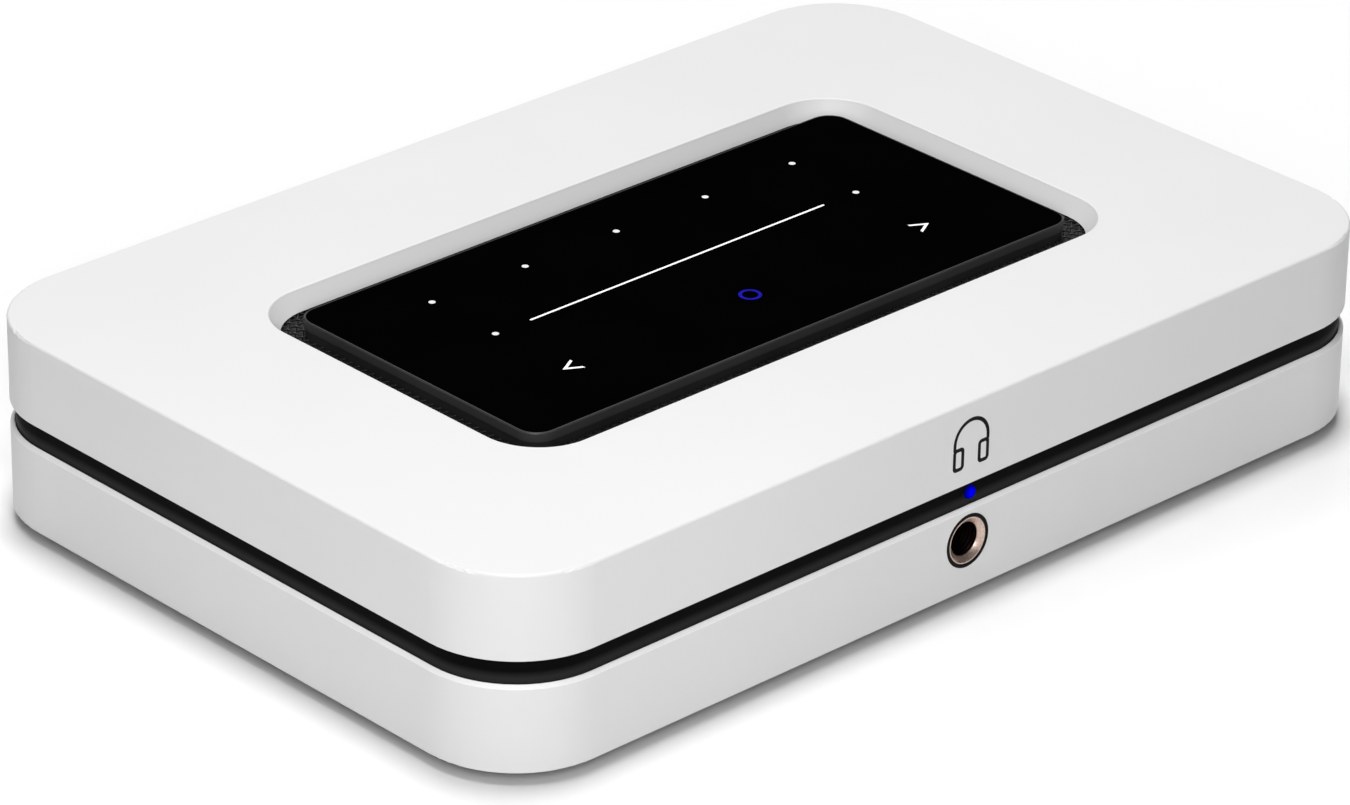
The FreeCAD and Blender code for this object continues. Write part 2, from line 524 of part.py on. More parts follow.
def make_rca_sockets():
    y0, y1 = BACKPLATE[1] - 1.9, BACKPLATE[1] + RCA_LONG
    sleeves, bodies, cores = [], [], {}
    for name, x in RCA_X.items():
        root = rod_y(x, PORT_Z, RCA_R + 0.1, y0, BACKPLATE[1])
        sleeve = fused(root, rod_y(x, PORT_Z, RCA_R, y0, y1))
        sleeve = sleeve.cut(rod_y(x, PORT_Z, RCA_R - RCA_WALL, y0 - 1, y1 + 1))
        sleeves.append(sleeve)
        core = rod_y(x, PORT_Z, RCA_R - RCA_WALL - 0.05, y0, y1 - 0.8)
        cores[name] = core.cut(rod_y(x, PORT_Z, RCA_PIN_R, y0 + 1.0, y1))
        bodies.append(box(x - 5.5, x + 5.5, 49.0, BACKPLATE[0] - 0.05, BOARD_TOP, PORT_Z + 5.5))
    add("rca_insulator_left", cores["left"])
    add("rca_insulator_right", cores["right"])
    add("rca_insulators_mono", cores["coax"], cores["sub"])
    add("rca_sleeves", *sleeves)
    add("rca_bodies", *bodies)


def make_mini_jacks():
    y1 = PORT_FACE
    jacks = []
    for x in MINI_X.values():
        body = box(x - 4.0, x + 4.0, 48.0, BACKPLATE[0] - 0.05, BOARD_TOP, PORT_Z + 4.0)
        body = fused(body, rod_y(x, PORT_Z, 3.0, BACKPLATE[0] - 0.1, y1))
        jacks.append(body.cut(rod_y(x, PORT_Z, MINI_BORE, y1 - MINI_DEEP, y1 + 1)))
    add("mini_jacks", *jacks)


def make_optical_socket():
    y0, y1 = 49.5, PORT_FACE
    x, half = OPTICAL_X, 5.0
    body = box(x - half, x + half, y0, y1, BOARD_TOP + 0.05, 22.0)
    body = body.cut(box(x - 4.3, x + 4.3, y1 - 10, y1 - 0.75, 11.8, 21.05))
    body = body.cut(box(x - 3.7, x + 3.7, y1 - 1, y1 + 1, 12.8, 19.6))
    body = body.cut(rod_x(FLAP_PIVOT_Y, FLAP_PIVOT_Z, TRUNNION_HOLE, x - half - 1, x + half + 1))
    emitter = rod_y(x, 16.2, 1.4, y1 - 10.1, y1 - 9.1)
    add("optical_out_body", fused(body, emitter))
    plate = box(x - FLAP_HALF, x + FLAP_HALF, FLAP_PIVOT_Y - FLAP_THICK / 2, FLAP_PIVOT_Y + FLAP_THICK / 2,
                FLAP_PIVOT_Z - FLAP_LONG, FLAP_PIVOT_Z)
    pin = rod_x(FLAP_PIVOT_Y, FLAP_PIVOT_Z, TRUNNION_R, x - half + 0.1, x + half - 0.1)
    add("optical_out_shutter", fused(plate, pin))


def port_pair(x, half, high, wall, deep, tongue):
    """Metal socket shell open to the back, and its insert with a tongue (half width, low, high, length)."""
    y0, y1 = PORT_FACE - deep, PORT_FACE
    z0 = BOARD_TOP + 0.05
    room = wall + 0.02
    shell = box(x - half, x + half, y0, y1, z0, z0 + high)
    shell = shell.cut(box(x - half + wall, x + half - wall, y0 + wall, y1 + 1, z0 + wall, z0 + high - wall))
    root = box(x - half + room, x + half - room, y0 + room, y0 + 3, z0 + room, z0 + high - room)
    reach, low, top, long = tongue
    blade = box(x - reach, x + reach, y0 + 2, y0 + 3 + long, z0 + low, z0 + top)
    return shell, fused(root, blade)


def make_lan_port():
    x, y1 = LAN_X, PORT_FACE
    body = box(x - 8.0, x + 8.0, y1 - 21, y1, BOARD_TOP + 0.05, 24.05)
    body = body.cut(box(x - 5.9, x + 5.9, y1 - 13, y1 + 1, 13.6, 20.4))
    body = body.cut(box(x - 3.1, x + 3.1, y1 - 13, y1 + 1, 11.6, 13.7))
    add("lan_port", body)
    pitch, half_wire = 1.02, 0.2
    places = [x + (k - 3.5) * pitch for k in range(8)]
    add("lan_contacts", *[box(c - half_wire, c + half_wire, y1 - 13, y1 - 3.0, 19.6, 20.4) for c in places])


def figure_eight(x, z, radius, pitch, y0, y1):
    """Prism along Y whose section is the mains appliance inlet's figure of eight."""
    sides = box(x - pitch / 2, x + pitch / 2, y0, y1, z - radius * 0.82, z + radius * 0.82)
    return fused(rod_y(x - pitch / 2, z, radius, y0, y1), rod_y(x + pitch / 2, z, radius, y0, y1), sides)


def make_power_inlet():
    y1 = PORT_FACE
    body = box(INLET_X - 9.8, INLET_X + 9.8, y1 - 20, y1, BOARD_TOP + 0.05, 23.6)
    body = body.cut(figure_eight(INLET_X, PORT_Z, 4.3, 8.6, y1 - 12, y1 + 1))
    for sx in (-1, 1):
        body = body.cut(rod_y(INLET_X + sx * 4.3, PORT_Z, 1.2, y1 - 15, y1))
    add("power_inlet", body)
    pins = [rod_y(INLET_X + sx * 4.3, PORT_Z, 1.15, y1 - 14.9, y1 - 2.0) for sx in (-1, 1)]
    add("power_inlet_pins", *pins)


def make_rear_sockets():
    make_rear_panel()
    make_rca_sockets()
    make_mini_jacks()
    make_optical_socket()
    usb_shell, usb_insert = port_pair(USB_X, 6.55, 5.7, 0.3, 17.0, (5.6, 3.3, 5.1, 9.5))
    hdmi_shell, hdmi_insert = port_pair(HDMI_X, 7.5, 5.5, 0.35, 12.0, (5.0, 2.3, 3.2, 6.0))
    add("usb_port", usb_shell)
    add("hdmi_port", hdmi_shell)
    add("port_inserts", usb_insert, hdmi_insert)
    make_lan_port()
    make_power_inlet()


# ---------------------------------------------------------------- radio and wiring
def make_radio_and_wiring():
    top = BOARD_TOP + 2.6
    add("antennas", box(-106.9, -106.1, -24.0, 22.0, 29.2, 37.2), box(106.1, 106.9, -24.0, 22.0, 29.2, 37.2))
    left = [(-106.1, 0, 31), (-98, 0, 31), (-84, -3, 27), (-68, -7, 22), (-50, -9, 20), (-50, -9, top)]
    right = [(106.1, -18, 31), (98, -18, 31), (70, -24, 30), (34, -27, 29), (0, -26, 28)]
    right += [(-30, -20, 24), (-44, -14, 21), (-44, -14, top)]
    add("antenna_cables", tube_path(left, 0.6), tube_path(right, 0.6))
    wires = []
    plug_top, arch = BOARD_TOP + 6.0, BOARD_TOP + 14.0
    for k in range(4):
        y = 19.5 + 3.0 * k
        stops = [(HARNESS_X[0], plug_top), (HARNESS_X[0], arch), (HARNESS_X[1], arch), (HARNESS_X[1], plug_top)]
        route = [(x, y, z) for x, z in stops]
        wires.append(tube_path(route, 0.65))
    add("power_harness", *wires)


def ribbon(width, x, route):
    """Flat flexible cable of constant width along X through (y, z) route points."""
    half = RIBBON_THICK / 2
    upper, lower = [], []
    for k, (y, z) in enumerate(route):
        before, after = route[max(k - 1, 0)], route[min(k + 1, len(route) - 1)]
        dy, dz = after[0] - before[0], after[1] - before[1]
        size = math.hypot(dy, dz)
        ny, nz = -dz / size * half, dy / size * half
        upper.append(Vector(x - width / 2, y + ny, z + nz))
        lower.append(Vector(x - width / 2, y - ny, z - nz))
    ring = upper + lower[::-1]
    return Part.Face(Part.makePolygon(ring + ring[:1])).extrude(Vector(width, 0, 0))


def s_curve(y0, z0, y1, z1, count=9):
    """Points of an S-shaped fold that leaves and arrives level."""
    points = []
    for k in range(count):
        t = k / (count - 1)
        points.append((y0 + (y1 - y0) * t, z0 + (z1 - z0) * (3 * t * t - 2 * t ** 3)))
    return points


def make_ribbons_and_connectors():
    z = BOARD_TOP
    plugs = [box(x - 3.0, x + 3.0, 17.5, 30.5, z, z + 6.0) for x in HARNESS_X]
    touch_ends = [box(-8.0, 8.0, 23.4, 26.6, MESH_LOW - 2.0, MESH_LOW), box(-8.0, 8.0, 42.0, 45.5, z, z + 2.0)]
    low = FRONT_BOARD_TOP - FINE
    front_ends = [box(-28.0, -16.0, -48.0, -45.0, low, low + 2.0), box(-28.0, -16.0, -33.0, -30.0, z, z + 2.0)]
    add("board_connectors", *touch_ends, *front_ends, *plugs)
    touch = [(26.6, MESH_LOW - 1.65)] + s_curve(31.0, MESH_LOW - 1.65, 38.0, z + 1.0) + [(42.0, z + 1.0)]
    front = [(-45.0, 8.4)] + s_curve(-44.0, 8.4, -39.5, z + 1.2) + [(-33.0, z + 1.2)]
    add("ribbon_cables", ribbon(13.0, 0.0, touch), ribbon(10.0, -22.0, front))


# ---------------------------------------------------------------- build
def main():
    make_top_cover()
    make_bottom_shell()
    make_base_plate()
    make_mid_frame()
    make_feet_and_case_screws()
    make_touch_panel()
    make_headphone_socket()
    make_status_light()
    make_boards()
    make_rear_sockets()
    make_radio_and_wiring()
    make_ribbons_and_connectors()
    os.makedirs("parts", exist_ok=True)
    for name, shape in sorted(NODES.items()):
        shape.exportStep("parts/%s.step" % name)
        state = "ok" if shape.isValid() and shape.Solids else "BAD"
        print("%-24s %s solids=%d volume=%.1f" % (name, state, len(shape.Solids), shape.Volume))


main()
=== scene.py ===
"""Looks, lights and camera for the compact audio receiver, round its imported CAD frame. Metres, +Z up."""

import bpy, json, math
from mathutils import Euler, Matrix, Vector


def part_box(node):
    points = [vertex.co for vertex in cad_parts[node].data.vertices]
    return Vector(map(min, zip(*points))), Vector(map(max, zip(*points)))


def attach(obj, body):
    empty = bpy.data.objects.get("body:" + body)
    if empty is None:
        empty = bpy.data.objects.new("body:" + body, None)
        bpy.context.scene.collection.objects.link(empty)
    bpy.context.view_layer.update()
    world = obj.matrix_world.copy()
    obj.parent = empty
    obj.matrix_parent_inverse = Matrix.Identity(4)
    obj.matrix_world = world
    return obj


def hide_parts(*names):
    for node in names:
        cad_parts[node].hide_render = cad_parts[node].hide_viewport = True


with open("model.json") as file:
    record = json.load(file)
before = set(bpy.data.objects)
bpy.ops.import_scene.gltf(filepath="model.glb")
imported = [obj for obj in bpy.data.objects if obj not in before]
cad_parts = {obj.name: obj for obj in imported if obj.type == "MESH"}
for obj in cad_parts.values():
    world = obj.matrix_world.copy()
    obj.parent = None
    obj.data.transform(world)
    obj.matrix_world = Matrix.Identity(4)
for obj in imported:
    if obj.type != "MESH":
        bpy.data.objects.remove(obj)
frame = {"nodes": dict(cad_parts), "record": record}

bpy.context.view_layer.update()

MM = 0.001
NODES = frame["nodes"]
CHASSIS = "chassis"

# ---------------------------------------------------------------- camera and light settings
CAMERA_PLACE = (-0.7361, -0.7701, 0.5513)
CAMERA_TURN = (63.161, -0.8325, -43.1565)      # degrees about X, Y and Z
CAMERA_LENS, SENSOR_WIDE = 173.235, 36.0       # millimetres
CAMERA_REACH = 20.0                            # metres; the floor ends within it

# ---------------------------------------------------------------- paint, metres where it is a place
FLOOR_WHITE = 0.85
FLOOR_REACH = 6.0                                       # metres from the middle to its edges
SHELL_WHITE = ((0.685, 0.685, 0.685), (0.7, 0.7, 0.7))  # the paint drifts slowly between these two
RIM_PAINTED_HIGHLIGHT = (0.88, 0.88, 0.88)                          # painted highlight on the cut rim of the lower shell
RIM_HIGHLIGHT_FADE = (0.01905, 0.01915)                           # heights between which the rim's painted highlight begins
RECESS_PAINTED_LIGHT = (0.79, 0.79, 0.79)                       # painted light: lighter paint on the wall of the recess round the touch panel
RECESS_LIGHT_BOUNDS = (0.0752, 0.0405, 0.0406, 0.0002)         # half length, half width, top, softness of that painted light
GROOVE_SHADE_FADE = (0.0207, 0.0221)                          # heights over which painted shade darkens the frame upwards, under the cover's edge
GROOVE_SHADE_GRAIN = 0.00005                                  # how far grain moves the edge of that painted shade up or down
SMOOTH_DEGREES = 24.0                                   # CAD faces that meet flatter than this shade as one
PLATE_LINE_DEEP = 0.002                                 # millimetres: depth of the lines in plated metal

# ---------------------------------------------------------------- sizes of the detail pieces, millimetres
WEAVE_PITCH, WIRE_R = 1.4, 0.2                          # woven mesh round the touch panel
WIRE_SIDES, WEAVE_STEPS = 6, 4                          # facets of a wire, points per pitch of a wire
WEAVE_MARGIN = 3.3                                      # strip of the mesh that its clamped edge hides
PANEL_HOLE = (134.2, 64.2, 4.5)                         # hole in the mesh: length, width, corner radius
FLANGE_CORNER = 14.0                                    # corner radius of the mesh
LED_GLOW_R = 1.3                                        # radius over which the status light fades
BUSHING_BORE, BUSHING_LIP, FUNNEL_DEEP = 3.25, 0.4, 0.75    # headphone bushing
BUSHING_SHADE_EDGE = 0.22                                     # width of the painted shade on the outer edge of its face
BUSHING_CHAMFER = 0.08                                  # chamfer of its front edge
BUSHING_TAIL = (0.25, 1.5)                              # its narrower rear end: step in radius, length
THREAD_PITCH, THREAD_DEEP, THREAD_MARGIN = 0.8, 0.12, 0.6   # thread in its bore, plain length at each end
LATHE_STEPS = 96

# softbox name: (place, point it faces, diameter, watts). The large ones hang over the product and behind it,
# the keys stand high above it and its near faces, and the low one lifts the nearest corner.
SOFTBOXES = {
    "softbox_over_back": ((0.3, 0.5, 1.5), (0.2, 0.3, 0.0), 0.8, 6.2),
    "softbox_background": ((0.55, 0.6, 0.9), (0.55, 0.6, 0.0), 0.6, 4.0),
    "key_top": ((0.0, 0.0, 1.6), (0.0, 0.0, 0.02), 0.3, 9.8),
    "key_corner": ((-0.5, -0.5, 1.5), (0.0, 0.0, 0.02), 0.5, 7.0),
    "key_left": ((-0.65, -0.1, 1.5), (0.0, 0.0, 0.02), 0.5, 3.3),
    "corner_light": ((-0.4, -0.42, 0.3), (-0.08, -0.05, 0.02), 0.3, 1.7),
}


# ---------------------------------------------------------------- shader helpers
class Shader:
    """A small builder for one procedural material: nodes are added by type and joined by name."""

    def __init__(self, name):
        self.material = bpy.data.materials.new(name)
        self.material.use_nodes = True
        self.tree = self.material.node_tree
        self.surface = self.tree.nodes["Principled BSDF"]

    def node(self, kind, **settings):
        node = self.tree.nodes.new(kind)
        for key, value in settings.items():
            setattr(node, key, value)
        return node

    def join(self, output, target):
        self.tree.links.new(output, target)

    def place(self):
        """Object coordinates in metres: the same in every view, and fixed to the piece."""
        return self.node("ShaderNodeTexCoord").outputs["Object"]

    def axis(self, name):
        """One object coordinate in metres: X, Y or Z."""
        split = self.node("ShaderNodeSeparateXYZ")
        self.join(self.place(), split.inputs[0])
        return split.outputs[name]

    def radius_from(self, x, z):
        """Distance in metres from the line along Y through x, z."""
        away = self.node("ShaderNodeVectorMath", operation="SUBTRACT")
        away.inputs[1].default_value = (x, 0.0, z)
        self.join(self.place(), away.inputs[0])
        flat = self.node("ShaderNodeVectorMath", operation="MULTIPLY")
        flat.inputs[1].default_value = (1.0, 0.0, 1.0)
        self.join(away.outputs["Vector"], flat.inputs[0])
        length = self.node("ShaderNodeVectorMath", operation="LENGTH")
        self.join(flat.outputs["Vector"], length.inputs[0])
        return length.outputs["Value"]

    def near_middle(self, half_x, half_y, top, soft):
        """1 near the Z axis and below top, else 0; soft is the width of the change. All in metres."""
        near = self.spread(self.axis("Z"), 1.0, 0.0, top - soft, top)
        for name, half in (("X", half_x), ("Y", half_y)):
            away = self.calculate("ABSOLUTE", self.axis(name))
            near = self.calculate("MULTIPLY", near, self.spread(away, 1.0, 0.0, half - soft, half))
        return near

    def noise(self, size_mm, detail=2.0, rough=0.5, stretch=None):
        """Grey noise whose features are about size_mm wide; stretch scales X, Y and Z."""
        texture = self.node("ShaderNodeTexNoise")
        texture.inputs["Scale"].default_value = 1.0 / (size_mm * MM)
        texture.inputs["Detail"].default_value = detail
        texture.inputs["Roughness"].default_value = rough
        source = self.place()
        if stretch:
            mapping = self.node("ShaderNodeMapping")
            mapping.inputs["Scale"].default_value = stretch
            self.join(source, mapping.inputs["Vector"])
            source = mapping.outputs["Vector"]
        self.join(source, texture.inputs["Vector"])
        return texture.outputs["Fac"]

    def spread(self, value, low, high, from_low=0.3, from_high=0.7):
        """value from_low..from_high mapped to low..high."""
        node = self.node("ShaderNodeMapRange")
        node.inputs["From Min"].default_value = from_low
        node.inputs["From Max"].default_value = from_high
        node.inputs["To Min"].default_value = low
        node.inputs["To Max"].default_value = high
        self.join(value, node.inputs["Value"])
        return node.outputs["Result"]

    def tint(self, value, dark, light):
        """A colour between dark and light, by value 0..1."""
        node = self.node("ShaderNodeMix", data_type="RGBA")
        self.join(value, node.inputs["Factor"])
        node.inputs["A"].default_value = (*dark, 1.0)
        node.inputs["B"].default_value = (*light, 1.0)
        return node.outputs["Result"]

    def cover(self, under, value, colour):
        """The colour output under, replaced by one colour where value is 1."""
        node = self.node("ShaderNodeMix", data_type="RGBA")
        self.join(value, node.inputs["Factor"])
        self.join(under, node.inputs["A"])
        node.inputs["B"].default_value = (*colour, 1.0)
        return node.outputs["Result"]

    def calculate(self, operation, first, second=None):
        """The result of a math node with one or two inputs joined."""
        node = self.node("ShaderNodeMath", operation=operation)
        self.join(first, node.inputs[0])
        if second:
            self.join(second, node.inputs[1])
        return node.outputs["Value"]

    def paint(self, colour):
        self.join(colour, self.surface.inputs["Base Color"])

    def glow(self, colour):
        self.join(colour, self.surface.inputs["Emission Color"])
        self.surface.inputs["Emission Strength"].default_value = 1.0

    def gloss(self, roughness):
        self.join(roughness, self.surface.inputs["Roughness"])

    def bump(self, height, distance_mm):
        node = self.node("ShaderNodeBump")
        node.inputs["Distance"].default_value = distance_mm * MM
        node.inputs["Strength"].default_value = 1.0
        self.join(height, node.inputs["Height"])
        self.join(node.outputs["Normal"], self.surface.inputs["Normal"])

    def set(self, **sockets):
        """Sets sockets of the surface shader, with underscores for the spaces of their names."""
        for name, value in sockets.items():
            self.surface.inputs[name.replace("_", " ")].default_value = value


def grey(value):
    return (value, value, value)


def moulded(name, dark, light, rough, grain_mm, grain_depth, patch_mm=18.0, spec=0.5, rough_spread=0.05):
    """Moulded or painted plastic: slow colour drift, fine grain and a slightly uneven gloss."""
    shader = Shader(name)
    patches = shader.spread(shader.noise(patch_mm, 3.0), 0.0, 1.0)
    shader.paint(shader.tint(patches, dark, light))
    fine = shader.noise(grain_mm, 3.0, 0.6)
    shader.gloss(shader.spread(fine, rough - rough_spread, rough + rough_spread))
    shader.bump(fine, grain_depth)
    shader.set(Specular_IOR_Level=spec)
    return shader.material


def plated(name, dark, light, rough, stretch, grain_mm=0.5):
    """Turned, drawn or rolled metal: fine lines along the stretched axis."""
    shader = Shader(name)
    lines = shader.noise(grain_mm, 4.0, 0.6, stretch)
    shader.paint(shader.tint(shader.spread(lines, 0.0, 1.0), dark, light))
    shader.gloss(shader.spread(lines, rough * 0.75, rough * 1.3))
    shader.bump(lines, PLATE_LINE_DEEP)
    shader.set(Metallic=1.0)
    return shader.material


def lit(name, colour, edge, spec=0.5):
    """A light behind a diffusing window, in a grain of two tones."""
    shader = Shader(name)
    grain = shader.noise(0.35, 2.0)
    shader.glow(shader.tint(shader.spread(grain, 0.0, 1.0), edge, colour))
    shader.gloss(shader.spread(grain, 0.25, 0.4))
    shader.set(Base_Color=(*[c * 0.3 for c in colour], 1.0), Specular_IOR_Level=spec)
    return shader.material


def fading_light(name, node, core, rim):
    """A round light that is brightest on its axis and fades towards its rim."""
    shader = Shader(name)
    low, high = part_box(node)
    away = shader.radius_from((low[0] + high[0]) / 2, (low[2] + high[2]) / 2)
    fade = shader.spread(away, 1.0, 0.0, 0.3 * LED_GLOW_R * MM, 1.02 * LED_GLOW_R * MM)
    shader.glow(shader.tint(fade, rim, core))
    shader.gloss(shader.spread(shader.noise(0.4, 2.0), 0.15, 0.3))
    shader.set(Base_Color=(0.0, 0.0, 0.02, 1.0), Specular_IOR_Level=0.0)
    return shader.material


def shell_finish(name, painted_light_part, painted_light):
    """Satin white paint of a shell, with painted light where painted_light_part(shader) is 1."""
    shader = Shader(name)
    patches = shader.spread(shader.noise(40.0, 3.0), 0.0, 1.0)
    shader.paint(shader.cover(shader.tint(patches, *SHELL_WHITE), painted_light_part(shader), painted_light))
    fine = shader.noise(0.35, 3.0, 0.6)
    shader.gloss(shader.spread(fine, 0.37, 0.47))
    shader.bump(fine, 0.0025)
    shader.set(Specular_IOR_Level=0.35)
    return shader.material


def lower_rim_highlight(shader):
    """Where the painted highlight goes: the cut rim of the lower shell that faces the groove."""
    return shader.spread(shader.axis("Z"), 0.0, 1.0, *RIM_HIGHLIGHT_FADE)


def recess_wall_light(shader):
    """Where the painted light goes: the wall of the recess round the touch panel."""
    return shader.near_middle(*RECESS_LIGHT_BOUNDS)


def groove_painted_shade(name):
    """Frame between the shells with painted shade: near black under the cover's edge, lighter and glossier
    towards its foot.
    """
    shader = Shader(name)
    grain = shader.spread(shader.noise(0.3, 3.0), -GROOVE_SHADE_GRAIN, GROOVE_SHADE_GRAIN)
    height = shader.calculate("ADD", shader.axis("Z"), grain)
    fade = shader.spread(height, 1.0, 0.0, *GROOVE_SHADE_FADE)
    # painted shade: near black under the cover's edge, lighter below where light falls
    shader.paint(shader.tint(fade, grey(0.0015), grey(0.019)))
    shader.gloss(shader.spread(fade, 0.7, 0.5, 0.0, 1.0))
    shader.set(Specular_IOR_Level=0.04)
    return shader.material


def bushing_finish(name):
    """Plating of the headphone bushing, with painted shade on the outer edge of its face and inside its bore.
    """
    shader = Shader(name)
    low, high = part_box("headphone_bushing")
    lines = shader.noise(0.4, 4.0, 0.6, (1.0, 0.12, 1.0))
    plate = shader.tint(shader.spread(lines, 0.0, 1.0), (0.5, 0.36, 0.3), (0.72, 0.56, 0.49))
    face = low[1] + FUNNEL_DEEP * MM
    inside = shader.spread(shader.axis("Y"), 0.0, 1.0, face, face + 0.3 * MM)
    away = shader.radius_from((low[0] + high[0]) / 2, (low[2] + high[2]) / 2)
    edge = (high[0] - low[0]) / 2 - BUSHING_SHADE_EDGE * MM
    edge_shade = shader.spread(away, 0.0, 1.0, edge, edge + 0.04 * MM)
    # painted shade: near black inside the bore and on the outer edge of the face
    shader.paint(shader.cover(plate, shader.calculate("MAXIMUM", inside, edge_shade), (0.01, 0.004, 0.003)))
    shader.gloss(shader.spread(lines, 0.26, 0.4))
    shader.bump(lines, PLATE_LINE_DEEP)
    shader.set(Metallic=0.8)
    return shader.material


def circuit_board(name):
    """Green solder mask over faint copper tracks."""
    shader = Shader(name)
    tracks = shader.node("ShaderNodeTexBrick")
    tracks.inputs["Scale"].default_value = 160.0
    tracks.inputs["Mortar Size"].default_value = 0.03
    tracks.inputs["Color1"].default_value = (0.004, 0.075, 0.03, 1.0)
    tracks.inputs["Color2"].default_value = (0.006, 0.095, 0.04, 1.0)
    tracks.inputs["Mortar"].default_value = (0.012, 0.15, 0.06, 1.0)
    shader.join(shader.place(), tracks.inputs["Vector"])
    shader.paint(tracks.outputs["Color"])
    shader.gloss(shader.spread(shader.noise(1.0, 2.0), 0.25, 0.4))
    shader.bump(tracks.outputs["Fac"], 0.02)
    return shader.material


def winding(name):
    """Varnished wire or yellow tape laid in turns across the part."""
    shader = Shader(name)
    wave = shader.node("ShaderNodeTexWave", bands_direction="X")
    wave.inputs["Scale"].default_value = 1.0 / (6.0 * MM)
    wave.inputs["Distortion"].default_value = 0.4
    shader.join(shader.place(), wave.inputs["Vector"])
    shader.paint(shader.tint(wave.outputs["Fac"], (0.22, 0.12, 0.01), (0.62, 0.42, 0.05)))
    shader.bump(wave.outputs["Fac"], 0.08)
    shader.set(Roughness=0.4)
    return shader.material


def make_materials():
    ring = (1.0, 0.12, 1.0)
    return {
        # the cover's paint is lighter on the recess wall: painted light
        "white_shell": shell_finish("satin_white", recess_wall_light, RECESS_PAINTED_LIGHT),
        "mark_black": moulded("mark_ink", grey(0.001), grey(0.002), 0.5, 0.3, 0.002, spec=0.08),
        "satin_black": moulded("satin_black", grey(0.008), grey(0.012), 0.4, 0.3, 0.004, spec=0.15),
        "foot_rubber": moulded("foot_rubber", grey(0.012), grey(0.02), 0.75, 0.4, 0.02),
        "steel": plated("zinc_steel", grey(0.38), grey(0.55), 0.3, (1.0, 1.0, 6.0)),
        "bezel_dark": moulded("bezel_satin", grey(0.03), grey(0.036), 0.38, 0.3, 0.002, spec=0.3),
        "panel_glass": moulded("panel_glass", grey(0.0006), grey(0.001), 0.05, 4.0, 0.0002, 18.0, 0.35, 0.01),
        "mesh_black": moulded("mesh_paint", grey(0.006), grey(0.014), 0.4, 0.2, 0.004, spec=0.25),
        "light_white": lit("light_white", grey(0.95), grey(0.8)),
        "light_blue": fading_light("light_blue", "led_lens", (0.0, 0.0, 1.0), (0.0, 0.0, 0.12)),
        "ring_blue": lit("ring_blue", (0.008, 0.004, 0.36), (0.006, 0.002, 0.24), 0.05),
        "dot_white": lit("dot_white", grey(0.72), grey(0.6)),
        # the frame is painted darker under the cover's edge: painted shade
        "groove_black": groove_painted_shade("groove_black"),
        # the lower shell's paint is lighter on its rim: a painted highlight
        "lower_white": shell_finish("satin_white_lower", lower_rim_highlight, RIM_PAINTED_HIGHLIGHT),
        "base_black": moulded("base_black", grey(0.016), grey(0.024), 0.45, 0.25, 0.006, spec=0.2),
        "bushing": bushing_finish("bushing_plate"),
        "collar_black": moulded("collar_black", grey(0.003), grey(0.006), 0.5, 0.25, 0.004, spec=0.06),
        "board_green": circuit_board("solder_mask"),
        "nickel": plated("nickel_plate", (0.72, 0.62, 0.57), (0.85, 0.76, 0.72), 0.2, ring, 0.4),
        "alloy": plated("alloy_sheet", grey(0.55), grey(0.7), 0.32, (1.0, 8.0, 1.0)),
        "chip_black": moulded("chip_epoxy", grey(0.01), grey(0.018), 0.45, 0.2, 0.008),
        "connector_white": moulded("nylon_white", grey(0.62), (0.7, 0.69, 0.65), 0.45, 0.3, 0.01),
        "transformer": winding("transformer_wrap"),
        "cable_black": moulded("cable_jacket", grey(0.01), grey(0.02), 0.5, 0.3, 0.01),
        "insulator_white": moulded("insulator_white", grey(0.66), grey(0.72), 0.4, 0.3, 0.006),
        "insulator_red": moulded("insulator_red", (0.32, 0.006, 0.006), (0.42, 0.01, 0.01), 0.4, 0.3, 0.006),
        "brass_pin": plated("brass_pin", (0.6, 0.42, 0.16), (0.75, 0.56, 0.25), 0.25, ring),
    }


# nodes whose finish differs a little from the others of their slot; on mid_frame and bottom_shell the
# difference is painted shade and a painted highlight
OWN_FINISH = {
    "headphone_collar": "collar_black",
    "mid_frame": "groove_black",
    "bottom_shell": "lower_white",
    "panel_base": "base_black",
    "play_ring_light": "ring_blue",
    "preset_lights": "dot_white",
    "volume_step_lights": "dot_white",
}


def dress_nodes():
    """Gives every CAD node its slot's material or its own, and round corners smooth shading."""
    materials = make_materials()
    slots = {row["node"]: row["material_slot"] for row in frame["record"]["subparts"]}
    for name, node in NODES.items():
        node.data.materials.clear()
        node.data.materials.append(materials[OWN_FINISH.get(name, slots[name])])
        for face in node.data.polygons:
            face.use_smooth = True
        split = node.modifiers.new("edges", "EDGE_SPLIT")
        split.split_angle = math.radians(SMOOTH_DEGREES)
        split.use_edge_sharp = False
    return materials


# ---------------------------------------------------------------- detail pieces
def add_piece(name, verts, faces, node, material, smooth_degrees):
    """Makes a piece from millimetre points and faces that stands for one CAD node of the chassis."""
    mesh = bpy.data.meshes.new(name)
    mesh.from_pydata([[c * MM for c in point] for point in verts], [], faces)
    mesh.validate()
    piece = bpy.data.objects.new(name, mesh)
    bpy.context.scene.collection.objects.link(piece)
    mesh.materials.append(material)
    mesh.shade_smooth()
    split = piece.modifiers.new("edges", "EDGE_SPLIT")
    split.split_angle = math.radians(smooth_degrees)
    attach(piece, CHASSIS)
    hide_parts(node)
    return piece


def inside_rounded(x, y, length, width, corner):
    """True where x, y is inside a rectangle with rounded corners about the origin."""
    out_x = max(abs(x) - (length / 2 - corner), 0.0)
    out_y = max(abs(y) - (width / 2 - corner), 0.0)
    if out_x and out_y:
        return math.hypot(out_x, out_y) <= corner
    return abs(x) <= length / 2 and abs(y) <= width / 2


def on_diagonal(i, offset, turn):
    """Place of point i of the diagonal wire at offset; turn is +1 or -1 for the two sets of wires."""
    along = i * WEAVE_PITCH / WEAVE_STEPS
    return (along + offset * turn) * math.sqrt(0.5), (offset - along * turn) * math.sqrt(0.5)


